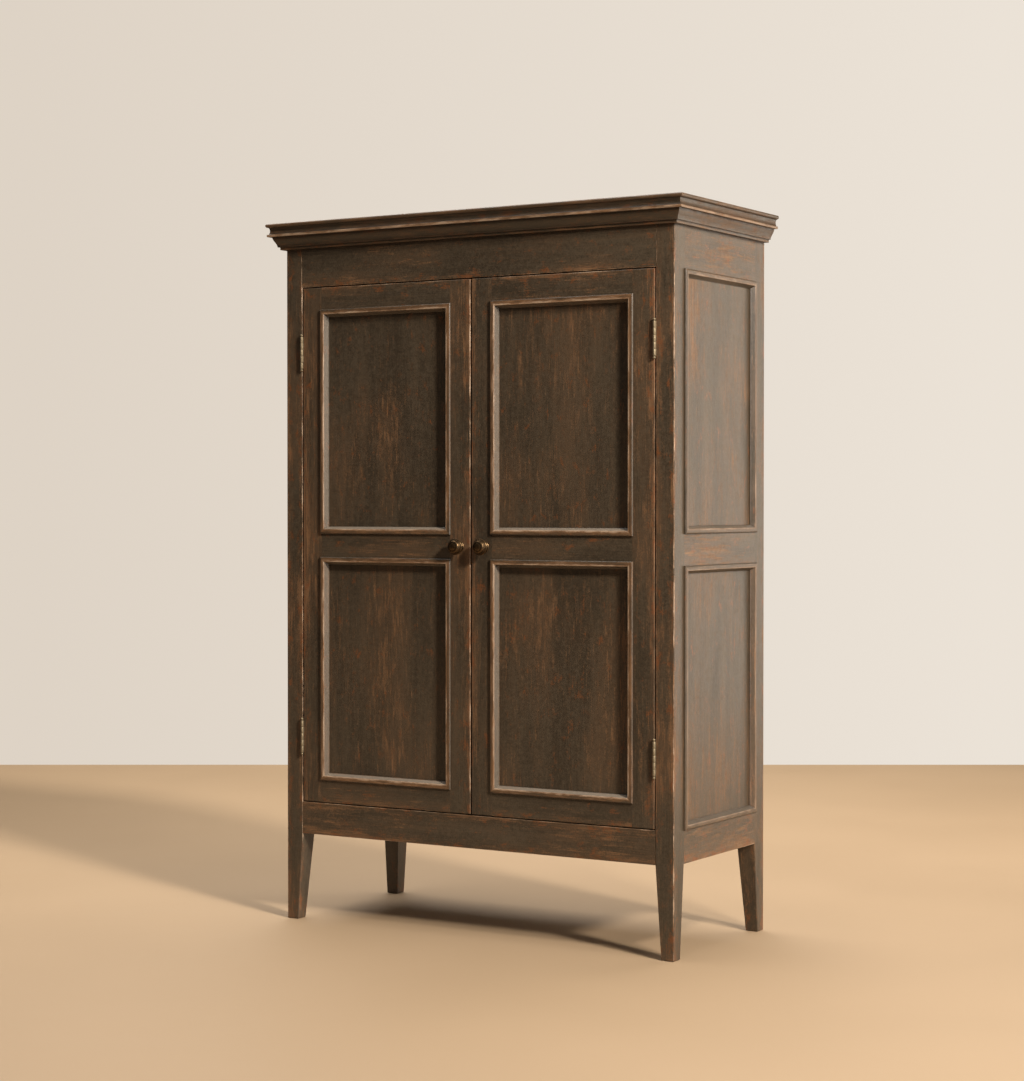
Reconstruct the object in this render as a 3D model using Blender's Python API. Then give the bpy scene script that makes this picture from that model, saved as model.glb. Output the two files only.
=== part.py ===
"""A two-door panelled armoire: a post-and-rail case on tapered legs, a mitred crown, and a pair of
inset doors on butt hinges.

Metres, +Z up. The front faces -Y, left is -X, and the origin is at floor level under the middle of
the whole piece. Every shape that has a twin is modelled on the left and reflected for the right.
"""

import math

import bmesh
import bpy
from mathutils import Matrix, Vector

# ------------------------------------------------------------------ driving dimensions
BODY_WIDTH = 1.141
BODY_DEPTH = 0.494
CASE_HEIGHT = 1.750          # floor to the underside of the crown
CROWN_HEIGHT = 0.067
CROWN_OVERHANG = 0.040       # past the case at the front and the sides, none at the back

POST_WIDTH = 0.050           # seen from the front
POST_DEPTH = 0.053           # seen from the side
FOOT_SIZE = 0.034            # the legs taper to this on their two inner faces
LEG_HEIGHT = 0.226           # floor to the underside of the apron

FRIEZE_SHOWN = 0.100
APRON_HEIGHT = 0.083
FRONT_RAIL_THICKNESS = 0.022
SIDE_RAIL_THICKNESS = 0.030
SIDE_TOP_RAIL_SHOWN = 0.105
SIDE_MID_RAIL = 0.082
TOP_BOARD_THICKNESS = 0.0167
BOTTOM_BOARD_THICKNESS = 0.020
BACK_PANEL_THICKNESS = 0.006
BACK_PANEL_SET_IN = 0.001    # the back panel's face inside the case's
BACK_REBATE = 0.010          # how far the back panel runs over each rear post
FLOOR_LEDGE = 0.008          # how far the bottom board runs over each side rail

DOOR_THICKNESS = 0.022
DOOR_GAP = 0.0025            # round the outside of the pair
MEETING_GAP = 0.0035         # between the two doors
DOOR_STILE = 0.060
DOOR_RAIL = 0.0605
DOOR_MID_RAIL = 0.066

PANEL_THICKNESS = 0.006
PANEL_RECESS = 0.012         # door frame's face to panel's face
SIDE_PANEL_RECESS = 0.008    # the same on the sides of the case
MOULDING_WIDTH = 0.0185
MOULDING_PROUD = 0.006       # crest of the moulding above the frame face
MOULDING_LIP = 0.0035        # the moulding's inner edge above the panel
GROOVE_DEPTH = 0.008
TENON_LENGTH = 0.020
TENON_THICKNESS = 0.008

HINGE_HEIGHT = 0.083
HINGE_CENTRES = (0.480, 1.480)
LEAF_DEPTH = 0.019
LEAF_THICKNESS = 0.002
LEAF_SETBACK = 0.0005        # the barrel's back clear of the case front
BARREL_RADIUS = 0.004
PIN_RADIUS = 0.0015
PIN_TIP_RADIUS = 0.0036
KNUCKLES = 5
BARREL_SIDES = 14
PIN_SIDES = 12

KNOB_HEIGHT = 0.980
KNOB_FROM_MEETING_EDGE = 0.035
KNOB_RADIUS = 0.0210
KNOB_SHANK_RADIUS = 0.003
KNOB_SHANK_LENGTH = 0.015
KNOB_SIDES = 20

ROD_RADIUS = 0.0125
ROD_HEIGHT = 1.690
ROD_BORE_DEPTH = 0.012
ROD_SIDES = 24

CATCH_PLATE = (0.032, 0.003, 0.026)      # half width, thickness, height up the frieze
CATCH_BLOCK = (0.026, 0.016, 0.020)      # half width, depth, drop below the frieze
CATCH_SLOT = (0.014, 0.009, 0.012)       # centre from the middle, half width, height

CLEARANCE = 0.0003           # between pieces that touch
BORE_CLEARANCE = 0.0004      # round a turned piece in a faceted bore
ARRIS = 0.0015               # sanded edges of the case
WORN_ARRIS = 0.0022          # the doors' and posts' outer edges, rubbed rounder

# ------------------------------------------------------------------ derived places
LEFT = -BODY_WIDTH / 2
FRONT = -(BODY_DEPTH - CROWN_OVERHANG) / 2
BACK = FRONT + BODY_DEPTH
TOP = CASE_HEIGHT + CROWN_HEIGHT
CASE_TOP = TOP - TOP_BOARD_THICKNESS - CLEARANCE

OPENING_BOTTOM = LEG_HEIGHT + APRON_HEIGHT
OPENING_TOP = CASE_HEIGHT - FRIEZE_SHOWN
OPENING_LEFT = LEFT + POST_WIDTH

DOOR_LEFT = OPENING_LEFT + DOOR_GAP
DOOR_RIGHT = -MEETING_GAP / 2
DOOR_BOTTOM = OPENING_BOTTOM + DOOR_GAP
DOOR_TOP = OPENING_TOP - DOOR_GAP

HINGE_AXIS = Vector((OPENING_LEFT + DOOR_GAP / 2, FRONT - BARREL_RADIUS - LEAF_SETBACK, 0.0))

SIDE_FRONT = FRONT + POST_DEPTH
SIDE_BACK = BACK - POST_DEPTH
FAR = 0.05                   # how far a cutter runs past the wood it cuts

FINISHES = {
    "paint": ((0.045, 0.036, 0.028), 0.55, 0.0),
    "inside": ((0.16, 0.10, 0.055), 0.65, 0.0),
    "brass": ((0.30, 0.20, 0.09), 0.35, 1.0),
    "steel": ((0.10, 0.10, 0.10), 0.45, 1.0),
}


# ------------------------------------------------------------------ shapes
def block(low, high):
    """A box between two corners."""
    shape = bmesh.new()
    bmesh.ops.create_cube(shape, size=1.0)
    low, high = Vector(low), Vector(high)
    place = Matrix.LocRotScale((low + high) / 2, None, high - low)
    bmesh.ops.transform(shape, matrix=place, verts=shape.verts)
    return shape


def ease(shape, radius, chosen):
    """Round over the edges whose middle point passes the test."""
    edges = [edge for edge in shape.edges if chosen((edge.verts[0].co + edge.verts[1].co) / 2)]
    bmesh.ops.bevel(shape, geom=edges, offset=radius, segments=2, profile=0.5, affect="EDGES")
    return shape


def loft(rings, closed=False):
    """Skin a row of rings of equal length; the two ends are capped unless the row closes on itself."""
    shape = bmesh.new()
    loops = [[shape.verts.new(point) for point in ring] for ring in rings]
    pairs = list(zip(loops, loops[1:]))
    if closed:
        pairs.append((loops[-1], loops[0]))
    else:
        shape.faces.new(loops[0])
        shape.faces.new(loops[-1])
    for near, far in pairs:
        for i in range(len(near)):
            j = (i + 1) % len(near)
            shape.faces.new((near[i], near[j], far[j], far[i]))
    bmesh.ops.recalc_face_normals(shape, faces=shape.faces)
    return shape


def turned(profile, segments, place):
    """A turned solid: (radius, height) points from one pole to the other, put in place by a matrix."""
    shape = bmesh.new()
    start = shape.verts.new((0, 0, profile[0][1]))
    end = shape.verts.new((0, 0, profile[-1][1]))
    rings = []
    for radius, height in profile[1:-1]:
        turns = [math.tau * (i + 0.5) / segments for i in range(segments)]
        points = [(radius * math.cos(a), radius * math.sin(a), height) for a in turns]
        rings.append([shape.verts.new(point) for point in points])
    for i in range(segments):
        j = (i + 1) % segments
        shape.faces.new((start, rings[0][j], rings[0][i]))
        shape.faces.new((end, rings[-1][i], rings[-1][j]))
        for near, far in zip(rings, rings[1:]):
            shape.faces.new((near[i], near[j], far[j], far[i]))
    bmesh.ops.transform(shape, matrix=place, verts=shape.verts)
    bmesh.ops.recalc_face_normals(shape, faces=shape.faces)
    return shape


def round_bar(radius, length, segments, place):
    """A plain cylinder from height 0 to its length."""
    return turned([(0, 0), (radius, 0), (radius, length), (0, length)], segments, place)


def arc(centre, radius, start, end, steps):
    """Points round an arc, both ends included; angles in degrees."""
    angles = [math.radians(start + (end - start) * i / steps) for i in range(steps + 1)]
    return [(centre[0] + radius * math.cos(a), centre[1] + radius * math.sin(a)) for a in angles]


def standing(x, y, z):
    """A place for a turned piece with its axis up."""
    return Matrix.Translation((x, y, z))


def facing_front(x, y, z):
    """A place for a turned piece whose axis points out of the front."""
    return Matrix.Translation((x, y, z)) @ Matrix.Rotation(math.radians(90), 4, "X")


def along_x(x, y, z):
    """A place for a turned piece whose axis runs to the right."""
    return Matrix.Translation((x, y, z)) @ Matrix.Rotation(math.radians(90), 4, "Y")


# ------------------------------------------------------------------ objects
def make_finish(name, finish):
    """A Principled material of the piece's own."""
    colour, roughness, metallic = FINISHES[finish]
    material = bpy.data.materials.new(name + "_finish")
    material.use_nodes = True
    shader = material.node_tree.nodes["Principled BSDF"]
    shader.inputs["Base Color"].default_value = (*colour, 1.0)
    shader.inputs["Roughness"].default_value = roughness
    shader.inputs["Metallic"].default_value = metallic
    return material


def make_mesh(name, shapes, turn):
    """One mesh of several shapes, turned or reflected by a matrix."""
    mesh = bpy.data.meshes.new(name)
    whole = bmesh.new()
    for shape in shapes:
        shape.to_mesh(mesh)
        whole.from_mesh(mesh)
    bmesh.ops.transform(whole, matrix=turn, verts=whole.verts)
    if turn.determinant() < 0:
        bmesh.ops.reverse_faces(whole, faces=whole.faces)
    whole.to_mesh(mesh)
    whole.free()
    return mesh


def add(name, body, finish, joined=(), cut=(), reflect=(1, 1), parent=None, smooth=False):
    """Make a named piece: a body, with shapes joined to it and then others cut out of it."""
    turn = Matrix.Diagonal((reflect[0], 2 * (reflect[1] == 1) - 1, 1, 1))
    if reflect[1] != 1:
        turn = Matrix.Translation((0, FRONT + BACK, 0)) @ turn
    if parent:
        turn = Matrix.Translation(-parent.location) @ turn
    piece = bpy.data.objects.new(name, make_mesh(name, [body], turn))
    bpy.context.scene.collection.objects.link(piece)
    for operation, shapes in (("UNION", joined), ("DIFFERENCE", cut)):
        if shapes:
            combine(piece, make_mesh(name + "_tool", shapes, turn), operation)
    piece.data.materials.clear()
    piece.data.materials.append(make_finish(name, finish))
    piece.parent = parent
    if smooth:
        piece.data.shade_smooth()
        piece.data.set_sharp_from_angle(angle=math.radians(35))
    return piece


def combine(piece, tool_mesh, operation):
    """Join a mesh to the piece or cut it out, and keep the result as the piece's own mesh."""
    tool = bpy.data.objects.new(piece.name + "_tool", tool_mesh)
    bpy.context.scene.collection.objects.link(tool)
    modifier = piece.modifiers.new("shape", "BOOLEAN")
    modifier.operation = operation
    modifier.solver = "EXACT"
    modifier.use_self = True
    modifier.object = tool
    graph = bpy.context.evaluated_depsgraph_get()
    result = bpy.data.meshes.new_from_object(piece.evaluated_get(graph))
    piece.modifiers.clear()
    piece.data = result
    bpy.data.objects.remove(tool)


# ------------------------------------------------------------------ case
def groove_x():
    """Where a side panel and the side rails' tongues lie across the thickness of the left side."""
    return LEFT + SIDE_PANEL_RECESS, LEFT + SIDE_PANEL_RECESS + PANEL_THICKNESS


def leg_ring(z, width, depth):
    """The post's section at one height; its outer corner stays put."""
    inner, rear = LEFT + width, FRONT + depth
    return [(LEFT, FRONT, z), (inner, FRONT, z), (inner, rear, z), (LEFT, rear, z)]


def post_shape():
    """The left front post: square above the leg, tapered on its two inner faces below.

    The leg's four edges are eased, and above it only the two at the front, so that the side rails meet
    the post flush.
    """
    rings = [
        leg_ring(0.0, FOOT_SIZE, FOOT_SIZE),
        leg_ring(LEG_HEIGHT, POST_WIDTH, POST_DEPTH),
        leg_ring(CASE_TOP, POST_WIDTH, POST_DEPTH),
    ]

    def on_arris(middle):
        upright = 0.0 < middle.z < CASE_TOP - CLEARANCE and abs(middle.z - LEG_HEIGHT) > CLEARANCE
        at_foot = middle.z < CLEARANCE
        return at_foot or (upright and (middle.z < LEG_HEIGHT or middle.y < FRONT + CLEARANCE))

    return ease(loft(rings), WORN_ARRIS, on_arris)


def side_groove_cut():
    """The groove in the post's inner side face that takes the side rails and panels."""
    near, far = groove_x()
    return block(
        (near - CLEARANCE, SIDE_FRONT - GROOVE_DEPTH, LEG_HEIGHT - CLEARANCE),
        (far + CLEARANCE, SIDE_FRONT + FAR, CASE_TOP + FAR),
    )


def tenon_span(rail_low, rail_high):
    """The height a front rail's tenon takes, shouldered a sixth of the rail at each edge."""
    shoulder = (rail_high - rail_low) / 6
    return rail_low + shoulder, rail_high - shoulder


def tenon_y():
    """The tenon's place across the thickness of a front rail."""
    middle = FRONT + FRONT_RAIL_THICKNESS / 2
    return middle - TENON_THICKNESS / 2, middle + TENON_THICKNESS / 2


def mortise_cut(rail_low, rail_high):
    """The mortise in a front post for one front rail's tenon."""
    low, high = tenon_span(rail_low, rail_high)
    near, far = tenon_y()
    return block(
        (OPENING_LEFT - TENON_LENGTH - CLEARANCE, near - CLEARANCE, low - CLEARANCE),
        (OPENING_LEFT + FAR, far + CLEARANCE, high + CLEARANCE),
    )


def leaf_pocket(wood_x, into, centre):
    """The shallow pocket that lets a hinge leaf into the wood: into is -1 for the post, +1 for the door."""
    sunk = wood_x + into * (LEAF_THICKNESS + CLEARANCE)
    past = wood_x - into * DOOR_GAP / 2
    half = HINGE_HEIGHT / 2 + CLEARANCE
    return block(
        (min(sunk, past), FRONT - FAR, centre - half),
        (max(sunk, past), FRONT + LEAF_DEPTH + CLEARANCE, centre + half),
    )


def back_rebate_cut():
    """The step in a rear post that takes the back panel's edge, drawn on the front post."""
    depth = BACK_PANEL_SET_IN + BACK_PANEL_THICKNESS + CLEARANCE
    return block(
        (OPENING_LEFT - BACK_REBATE, FRONT - FAR, LEG_HEIGHT - CLEARANCE),
        (OPENING_LEFT + FAR, FRONT + depth, CASE_TOP + FAR),
    )


def build_posts():
    front_cuts = [side_groove_cut, lambda: mortise_cut(LEG_HEIGHT, OPENING_BOTTOM)]
    front_cuts.append(lambda: mortise_cut(OPENING_TOP, CASE_TOP))
    for centre in HINGE_CENTRES:
        front_cuts.append(lambda centre=centre: leaf_pocket(OPENING_LEFT, -1, centre))
    rear_cuts = [side_groove_cut, back_rebate_cut]
    for side, across in (("left", 1), ("right", -1)):
        cuts = [cut() for cut in front_cuts]
        add(f"front_{side}_post", post_shape(), "paint", cut=cuts, reflect=(across, 1))
        cuts = [cut() for cut in rear_cuts]
        add(f"rear_{side}_post", post_shape(), "paint", cut=cuts, reflect=(across, -1))


def front_rail(name, low, high):
    """A rail between the front posts, flush with their faces, with a stub tenon at each end."""
    end = -OPENING_LEFT
    body = block((-end + CLEARANCE, FRONT, low), (end - CLEARANCE, FRONT + FRONT_RAIL_THICKNESS, high))
    ease(body, ARRIS, lambda m: abs(m.x) < CLEARANCE and m.z < CASE_TOP - CLEARANCE)
    near, far = tenon_y()
    tenon_low, tenon_high = tenon_span(low, high)
    reach = end + TENON_LENGTH
    add(name, body, "paint", joined=[block((-reach, near, tenon_low), (reach, far, tenon_high))])


def side_rail(name, low, high, across, grooves, cut=()):
    """A rail between two posts of one side; its tongues fill the posts' grooves."""
    near, far = groove_x()
    body = block(
        (LEFT, SIDE_FRONT + CLEARANCE, low),
        (LEFT + SIDE_RAIL_THICKNESS, SIDE_BACK - CLEARANCE, high),
    )
    if low < LEG_HEIGHT + CLEARANCE:
        middle = (SIDE_FRONT + SIDE_BACK) / 2
        ease(body, ARRIS, lambda m: abs(m.z - low) < CLEARANCE and abs(m.y - middle) < CLEARANCE)
    reach = GROOVE_DEPTH - CLEARANCE
    tongue = block((near, SIDE_FRONT - reach, low), (far, SIDE_BACK + reach, high))
    cuts = list(cut)
    for level, inward in grooves:
        bottom, top = sorted((level - inward * FAR, level + inward * GROOVE_DEPTH))
        cuts.append(block(
            (near - CLEARANCE, SIDE_FRONT - FAR, bottom),
            (far + CLEARANCE, SIDE_BACK + FAR, top),
        ))
    add(name, body, "paint", joined=[tongue], cut=cuts, reflect=(across, 1))


def side_levels():
    """The rail edges up one side: bottom rail, lower opening, middle rail, upper opening, top rail."""
    low = LEG_HEIGHT + APRON_HEIGHT
    high = CASE_HEIGHT - SIDE_TOP_RAIL_SHOWN
    opening = (high - low - SIDE_MID_RAIL) / 2
    return low, low + opening, low + opening + SIDE_MID_RAIL, high


def panel(low_x, high_x, low_z, high_z, face_y):
    """A flat panel in a front-facing frame, its edges in the grooves round the opening."""
    reach = GROOVE_DEPTH - CLEARANCE
    return block(
        (low_x - reach, face_y, low_z - reach),
        (high_x + reach, face_y + PANEL_THICKNESS, high_z + reach),
    )


def moulding_profile(recess):
    """The panel moulding's section: (inward from the opening's edge, outward from the frame face)."""
    foot = -recess + CLEARANCE
    lip = -recess + MOULDING_LIP
    outer = arc((CLEARANCE + MOULDING_PROUD, 0.0), MOULDING_PROUD, 180, 55, 4)
    start = Vector(outer[-1])
    end = Vector((MOULDING_WIDTH - 0.001, lip))
    sag = Vector((-0.0009, -0.0006))
    slope = [start.lerp(end, t) + sag * math.sin(math.pi * t) for t in (0.3, 0.6, 0.85, 1.0)]
    fillet = [(MOULDING_WIDTH, lip), (MOULDING_WIDTH, foot)]
    return [(CLEARANCE, foot)] + outer + [tuple(point) for point in slope] + fillet


def panel_moulding(corners, inward_signs, out, recess):
    """Four strips mitred round an opening: corners are the opening's, out is the frame's outward normal."""
    rings = []
    for corner, signs in zip(corners, inward_signs):
        corner, inward = Vector(corner), Vector(signs)
        rings.append([corner + inward * u + out * v for u, v in moulding_profile(recess)])
    return loft(rings, closed=True)


def front_moulding(low_x, high_x, low_z, high_z):
    corners = [(low_x, FRONT, low_z), (high_x, FRONT, low_z), (high_x, FRONT, high_z), (low_x, FRONT, high_z)]
    signs = [(1, 0, 1), (-1, 0, 1), (-1, 0, -1), (1, 0, -1)]
    return panel_moulding(corners, signs, Vector((0, -1, 0)), PANEL_RECESS)


def side_moulding(low_z, high_z):
    corners = [
        (LEFT, SIDE_FRONT, low_z),
        (LEFT, SIDE_BACK, low_z),
        (LEFT, SIDE_BACK, high_z),
        (LEFT, SIDE_FRONT, high_z),
    ]
    signs = [(0, 1, 1), (0, -1, 1), (0, -1, -1), (0, 1, -1)]
    return panel_moulding(corners, signs, Vector((-1, 0, 0)), SIDE_PANEL_RECESS)


def side_panel(low_z, high_z):
    near, far = groove_x()
    reach = GROOVE_DEPTH - CLEARANCE
    return block(
        (near, SIDE_FRONT - reach, low_z - reach),
        (far, SIDE_BACK + reach, high_z + reach),
    )


def floor_rabbet_cut():
    """The ledge in a side bottom rail that carries the bottom board."""
    inner_face = LEFT + SIDE_RAIL_THICKNESS
    ledge = OPENING_BOTTOM - BOTTOM_BOARD_THICKNESS - CLEARANCE
    return block(
        (inner_face - FLOOR_LEDGE, SIDE_FRONT - FAR, ledge),
        (inner_face + FAR, SIDE_BACK + FAR, OPENING_BOTTOM + FAR),
    )


def rod_bore_cut():
    """The blind bore in a side top rail for the end of the hanging rod."""
    inner_face = LEFT + SIDE_RAIL_THICKNESS
    place = along_x(inner_face - ROD_BORE_DEPTH, (FRONT + BACK) / 2, ROD_HEIGHT)
    return round_bar(ROD_RADIUS + BORE_CLEARANCE, ROD_BORE_DEPTH + FAR, ROD_SIDES, place)


def build_sides():
    low, mid_low, mid_high, high = side_levels()
    for side, across in (("left", 1), ("right", -1)):
        name = side + "_side_"
        side_rail(name + "bottom_rail", LEG_HEIGHT, low, across, [(low, -1)], cut=[floor_rabbet_cut()])
        side_rail(name + "mid_rail", mid_low, mid_high, across, [(mid_low, 1), (mid_high, -1)])
        side_rail(name + "top_rail", high, CASE_TOP, across, [(high, 1)], cut=[rod_bore_cut()])
        for level, bottom, top in (("lower", low, mid_low), ("upper", mid_high, high)):
            add(f"{name}{level}_panel", side_panel(bottom, top), "paint", reflect=(across, 1))
            trim = side_moulding(bottom, top)
            add(f"{name}{level}_moulding", trim, "paint", reflect=(across, 1), smooth=True)


def crown_profile():
    """The crown's section: (projection from the case, height above the case's visible top)."""
    base, base_top = 0.012, 0.007
    cyma_start, cyma_reach, cyma_top = 0.017, 0.010, 0.033
    band, band_top = 0.037, 0.039
    roll_radius = 0.005
    roll_centre = (CROWN_OVERHANG - roll_radius, CROWN_HEIGHT - roll_radius)
    profile = [(CLEARANCE, 0.0), (base, 0.0), (base, base_top)]
    for i in range(7):
        ease_in = (1 - math.cos(math.pi * i / 6)) / 2
        profile.append((cyma_start + cyma_reach * ease_in, base_top + (cyma_top - base_top) * i / 6))
    profile += [(band, cyma_top), (band, band_top)]
    profile += [(0.0330, 0.0395), (0.0312, 0.0450), (0.0310, 0.0510), (0.0325, 0.0570)]
    profile += arc(roll_centre, roll_radius, -90, 90, 6)
    return profile + [(CLEARANCE, CROWN_HEIGHT)]


def crown_ring(x, y, outward):
    """The crown's section placed at a corner of the case; outward is a unit step or a mitre's diagonal."""
    base = Vector((x, y, CASE_HEIGHT))
    return [base + Vector(outward) * u + Vector((0, 0, v)) for u, v in crown_profile()]


def build_crown():
    joint = CLEARANCE
    front = loft([crown_ring(LEFT, FRONT, (-1, -1, 0)), crown_ring(-LEFT, FRONT, (1, -1, 0))])
    add("front_crown", front, "paint", smooth=True)
    for side, across in (("left", 1), ("right", -1)):
        run = loft([crown_ring(LEFT, FRONT + joint, (-1, -1, 0)), crown_ring(LEFT, BACK, (-1, 0, 0))])
        add(f"{side}_crown", run, "paint", reflect=(across, 1), smooth=True)


def build_boards():
    top = block((LEFT, FRONT, CASE_TOP + CLEARANCE), (-LEFT, BACK, TOP))
    add("top_board", top, "paint")

    half = -OPENING_LEFT + BACK_REBATE - CLEARANCE
    back_face = BACK - BACK_PANEL_SET_IN
    back = block((-half, back_face - BACK_PANEL_THICKNESS, LEG_HEIGHT), (half, back_face, CASE_TOP))
    add("back_panel", back, "inside")

    edge = LEFT + SIDE_RAIL_THICKNESS - FLOOR_LEDGE + CLEARANCE
    rear = back_face - BACK_PANEL_THICKNESS - CLEARANCE
    floor_low = OPENING_BOTTOM - BOTTOM_BOARD_THICKNESS
    floor = block(
        (edge, FRONT + FRONT_RAIL_THICKNESS + CLEARANCE, floor_low),
        (-edge, rear, OPENING_BOTTOM),
    )
    notches = []
    for side in (1, -1):
        inner, outer = side * (OPENING_LEFT + CLEARANCE), side * (LEFT - FAR)
        for near, far in ((FRONT, SIDE_FRONT + CLEARANCE), (SIDE_BACK - CLEARANCE, BACK)):
            notches.append(block(
                (min(inner, outer), near - FAR * (near == FRONT), floor_low - FAR),
                (max(inner, outer), far + FAR * (far == BACK), OPENING_BOTTOM + FAR),
            ))
    add("bottom_board", floor, "inside", cut=notches)


def build_rod():
    reach = -LEFT - SIDE_RAIL_THICKNESS + ROD_BORE_DEPTH - CLEARANCE
    rod = round_bar(ROD_RADIUS, 2 * reach, ROD_SIDES, along_x(-reach, (FRONT + BACK) / 2, ROD_HEIGHT))
    add("hanging_rod", rod, "steel", smooth=True)


def build_catch():
    """A double catch screwed behind the frieze: a plate, and below it the block that the doors meet."""
    face = FRONT + FRONT_RAIL_THICKNESS + CLEARANCE
    lap = 0.002
    half, thickness, height = CATCH_PLATE
    plate = block((-half, face, OPENING_TOP - lap), (half, face + thickness, OPENING_TOP + height))
    half, depth, drop = CATCH_BLOCK
    body = block((-half, face, OPENING_TOP - drop), (half, face + depth, OPENING_TOP))
    edge = 0.001
    ease(body, edge, lambda m: m.z < OPENING_TOP - edge)
    slot_x, half_slot, slot_height = CATCH_SLOT
    slot_top = OPENING_TOP - (drop - slot_height) / 2
    slots = []
    for x in (-slot_x, slot_x):
        low = (x - half_slot, face - FAR, slot_top - slot_height)
        slots.append(block(low, (x + half_slot, face + edge, slot_top)))
    add("door_catch", body, "steel", joined=[plate], cut=slots)


# ------------------------------------------------------------------ doors
def door_groove_y():
    return FRONT + PANEL_RECESS, FRONT + PANEL_RECESS + PANEL_THICKNESS


def on_door_outline(middle):
    """True on the outer edges of the left door, front and back."""
    near_side = min(middle.x - DOOR_LEFT, DOOR_RIGHT - middle.x)
    near_end = min(middle.z - DOOR_BOTTOM, DOOR_TOP - middle.z)
    return min(near_side, near_end) < CLEARANCE


def door_stile(low_x, high_x, groove_at, inward, cut):
    """A stile as tall as the door, grooved on its inner edge for the panels and the rails' tongues."""
    body = block((low_x, FRONT, DOOR_BOTTOM), (high_x, FRONT + DOOR_THICKNESS, DOOR_TOP))
    ease(body, WORN_ARRIS, lambda m: on_door_outline(m) and abs(m.x - groove_at) > CLEARANCE)
    near, far = door_groove_y()
    side, bottom = sorted((groove_at - inward * FAR, groove_at + inward * GROOVE_DEPTH))
    groove = block(
        (side, near - CLEARANCE, DOOR_BOTTOM - FAR),
        (bottom, far + CLEARANCE, DOOR_TOP + FAR),
    )
    return body, [groove] + cut


def door_rail(low_z, high_z, grooves):
    """A rail between the stiles; its tongues fill the stiles' grooves."""
    low_x, high_x = DOOR_LEFT + DOOR_STILE, DOOR_RIGHT - DOOR_STILE
    near, far = door_groove_y()
    body = block(
        (low_x + CLEARANCE, FRONT, low_z),
        (high_x - CLEARANCE, FRONT + DOOR_THICKNESS, high_z),
    )
    middle = (low_x + high_x) / 2
    ease(body, WORN_ARRIS, lambda m: on_door_outline(m) and abs(m.x - middle) < CLEARANCE)
    reach = GROOVE_DEPTH - CLEARANCE
    tongue_low = max(low_z, DOOR_BOTTOM + WORN_ARRIS)
    tongue_high = min(high_z, DOOR_TOP - WORN_ARRIS)
    tongue = block((low_x - reach, near, tongue_low), (high_x + reach, far, tongue_high))
    cuts = []
    for level, inward in grooves:
        bottom, top = sorted((level - inward * FAR, level + inward * GROOVE_DEPTH))
        cuts.append(block(
            (low_x - FAR, near - CLEARANCE, bottom),
            (high_x + FAR, far + CLEARANCE, top),
        ))
    return body, [tongue], cuts


def knob_profile():
    """The turned knob: (radius, distance out from the door face), from the shank's end to the crown."""
    end = -KNOB_SHANK_LENGTH
    shank = [(0.0, end), (KNOB_SHANK_RADIUS, end), (KNOB_SHANK_RADIUS, CLEARANCE)]
    rosette = [(0.0162, CLEARANCE), (0.0167, 0.0015), (0.0130, 0.0036), (0.0114, 0.0054)]
    neck = [(0.0078, 0.0068), (0.0074, 0.0086), (0.0140, 0.0116)]
    head = [(0.0200, 0.0141), (KNOB_RADIUS, 0.0164), (0.0194, 0.0204), (0.0160, 0.0256)]
    crown = [(0.0090, 0.0294), (0.0, 0.0306)]
    return shank + rosette + neck + head + crown


def hinge_leaf(centre, wood_x, into, first_knuckle):
    """A leaf let into the wood, with every second knuckle of the barrel wrapped round the pin."""
    low_x, high_x = sorted((wood_x, wood_x + into * LEAF_THICKNESS))
    bottom = centre - HINGE_HEIGHT / 2
    pitch = HINGE_HEIGHT / KNUCKLES
    plate = block((low_x, FRONT, bottom), (high_x, FRONT + LEAF_DEPTH, bottom + HINGE_HEIGHT))
    joined = []
    for knuckle in range(first_knuckle, KNUCKLES, 2):
        low = bottom + knuckle * pitch + CLEARANCE
        high = bottom + (knuckle + 1) * pitch - CLEARANCE
        place = standing(HINGE_AXIS.x, HINGE_AXIS.y, low)
        joined.append(round_bar(BARREL_RADIUS, high - low, BARREL_SIDES, place))
        neck_start = HINGE_AXIS.y + LEAF_SETBACK
        joined.append(block((low_x, neck_start, low), (high_x, FRONT + LEAF_THICKNESS / 2, high)))
    bore_place = standing(HINGE_AXIS.x, HINGE_AXIS.y, bottom - FAR)
    bore = round_bar(PIN_RADIUS + CLEARANCE, HINGE_HEIGHT + 2 * FAR, PIN_SIDES, bore_place)
    return plate, joined, [bore]


def pin_profile():
    """A loose pin with a ball tip at each end, from its bottom up."""
    start = -HINGE_HEIGHT / 2 - CLEARANCE
    lower = []
    for turn in (0, 45, 90, 135):
        angle = math.radians(turn)
        radius = PIN_TIP_RADIUS * math.sin(angle)
        lower.append((radius, start - PIN_TIP_RADIUS * (1 + math.cos(angle))))
    lower.append((PIN_RADIUS, start))
    return lower + [(radius, -height) for radius, height in reversed(lower)]


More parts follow.
